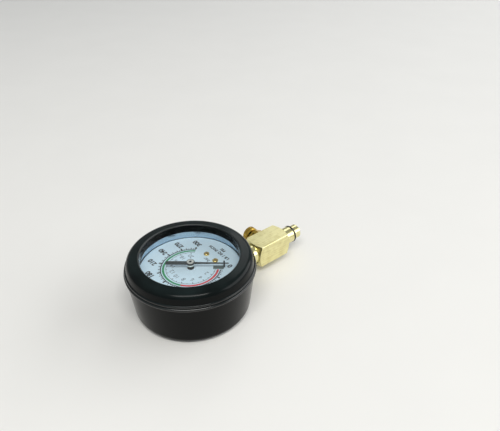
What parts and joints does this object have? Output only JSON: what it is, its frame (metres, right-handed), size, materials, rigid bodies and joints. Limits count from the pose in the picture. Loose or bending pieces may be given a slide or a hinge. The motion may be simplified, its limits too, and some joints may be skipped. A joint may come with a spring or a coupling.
{
  "type": "compression tester gauge",
  "caption": "Round dial pressure gauge in a rubber boot, with a square brass block that carries a hose nose and a push button release valve.",
  "frame": {"origin": "centre of the boot's flat back, on the dial axis", "axes": "+Z out of the dial, +Y towards the top of the dial, with the stem and its block along -Y"},
  "size_m": [0.081, 0.1325, 0.0395],
  "materials": {
    "boot_rubber": "moulded, soft satin",
    "case_steel": "drawn sheet, zinc plated",
    "lens_clear": "clear, polished",
    "seal_rubber": "moulded, smooth",
    "dial_print": "white enamel with printed scales",
    "pointer_black": "black enamel, satin",
    "bar_brass": "drawn bar, satin",
    "turned_brass": "turned, bright",
    "bright_steel": "turned, bright",
    "spring_steel": "drawn wire, bright"
  },
  "bodies": {
    "gauge": {"rubber_boot": "boot_rubber", "gauge_case": "case_steel", "bezel_ring": "case_steel", "lens": "lens_clear", "lens_gasket": "seal_rubber", "nose_o_ring": "seal_rubber", "dial": "dial_print", "manifold_block": "bar_brass", "socket": "bar_brass", "front_plate": "bar_brass", "back_plate": "bar_brass", "plate_pillars": "bar_brass", "dial_spacers": "bar_brass", "bourdon_tube": "bar_brass", "dial_screws": "turned_brass", "stop_pin": "turned_brass", "stem_washer": "turned_brass", "valve_body": "turned_brass", "hairspring_stud": "turned_brass", "plate_screws": "bright_steel", "movement_screws": "bright_steel", "socket_screws": "bright_steel", "hairspring": "spring_steel", "valve_spring": "spring_steel"},
    "needle": {"pointer": "pointer_black", "pointer_hub": "bar_brass", "pointer_arbor": "bright_steel", "hairspring_collet": "turned_brass"},
    "sector": {"sector_gear": "turned_brass", "sector_arbor": "bright_steel", "link_pin": "bright_steel"},
    "link": {"link_bar": "turned_brass"},
    "tube_end": {"tube_tip": "turned_brass", "tip_pin": "bright_steel"},
    "release": {"valve_stem": "bright_steel", "valve_seal": "seal_rubber", "valve_button": "turned_brass"}
  },
  "joints": [
    {"name": "needle_turn", "type": "hinge", "parent": "gauge", "child": "needle", "pos_m": [0, 0, 0.0225], "axis": [0, 0, 1], "range_deg": [-274, 0], "stiffness_Nm_per_rad": 0.00002, "deforming": ["hairspring"]},
    {"name": "sector_turn", "type": "hinge", "parent": "gauge", "child": "sector", "pos_m": [0.01204, -0.01338, 0.0215], "axis": [0, 0, 1], "range_deg": [0, 30.45]},
    {"name": "link_swing", "type": "hinge", "parent": "sector", "child": "link", "pos_m": [0.01832, -0.01508, 0.0225], "axis": [0, 0, 1], "range_deg": [-33.99, 0]},
    {"name": "tip_swing", "type": "hinge", "parent": "gauge", "child": "tube_end", "pos_m": [0, 0, 0.0145], "axis": [0, 0, 1], "range_deg": [0, 10.42], "deforming": ["bourdon_tube"]},
    {"name": "release_push", "type": "slide", "parent": "gauge", "child": "release", "axis": [-1, 0, 0], "range_m": [0, 0.002], "stiffness_N_per_m": 250, "springref_m": -0.004, "deforming": ["valve_spring"]}
  ],
  "couplings": [
    {"joint": "sector_turn", "follows": "needle_turn", "ratio": -0.11111},
    {"joint": "link_swing", "follows": "needle_turn", "ratio": 0.12402},
    {"joint": "tip_swing", "follows": "needle_turn", "ratio": -0.038003}
  ]
}
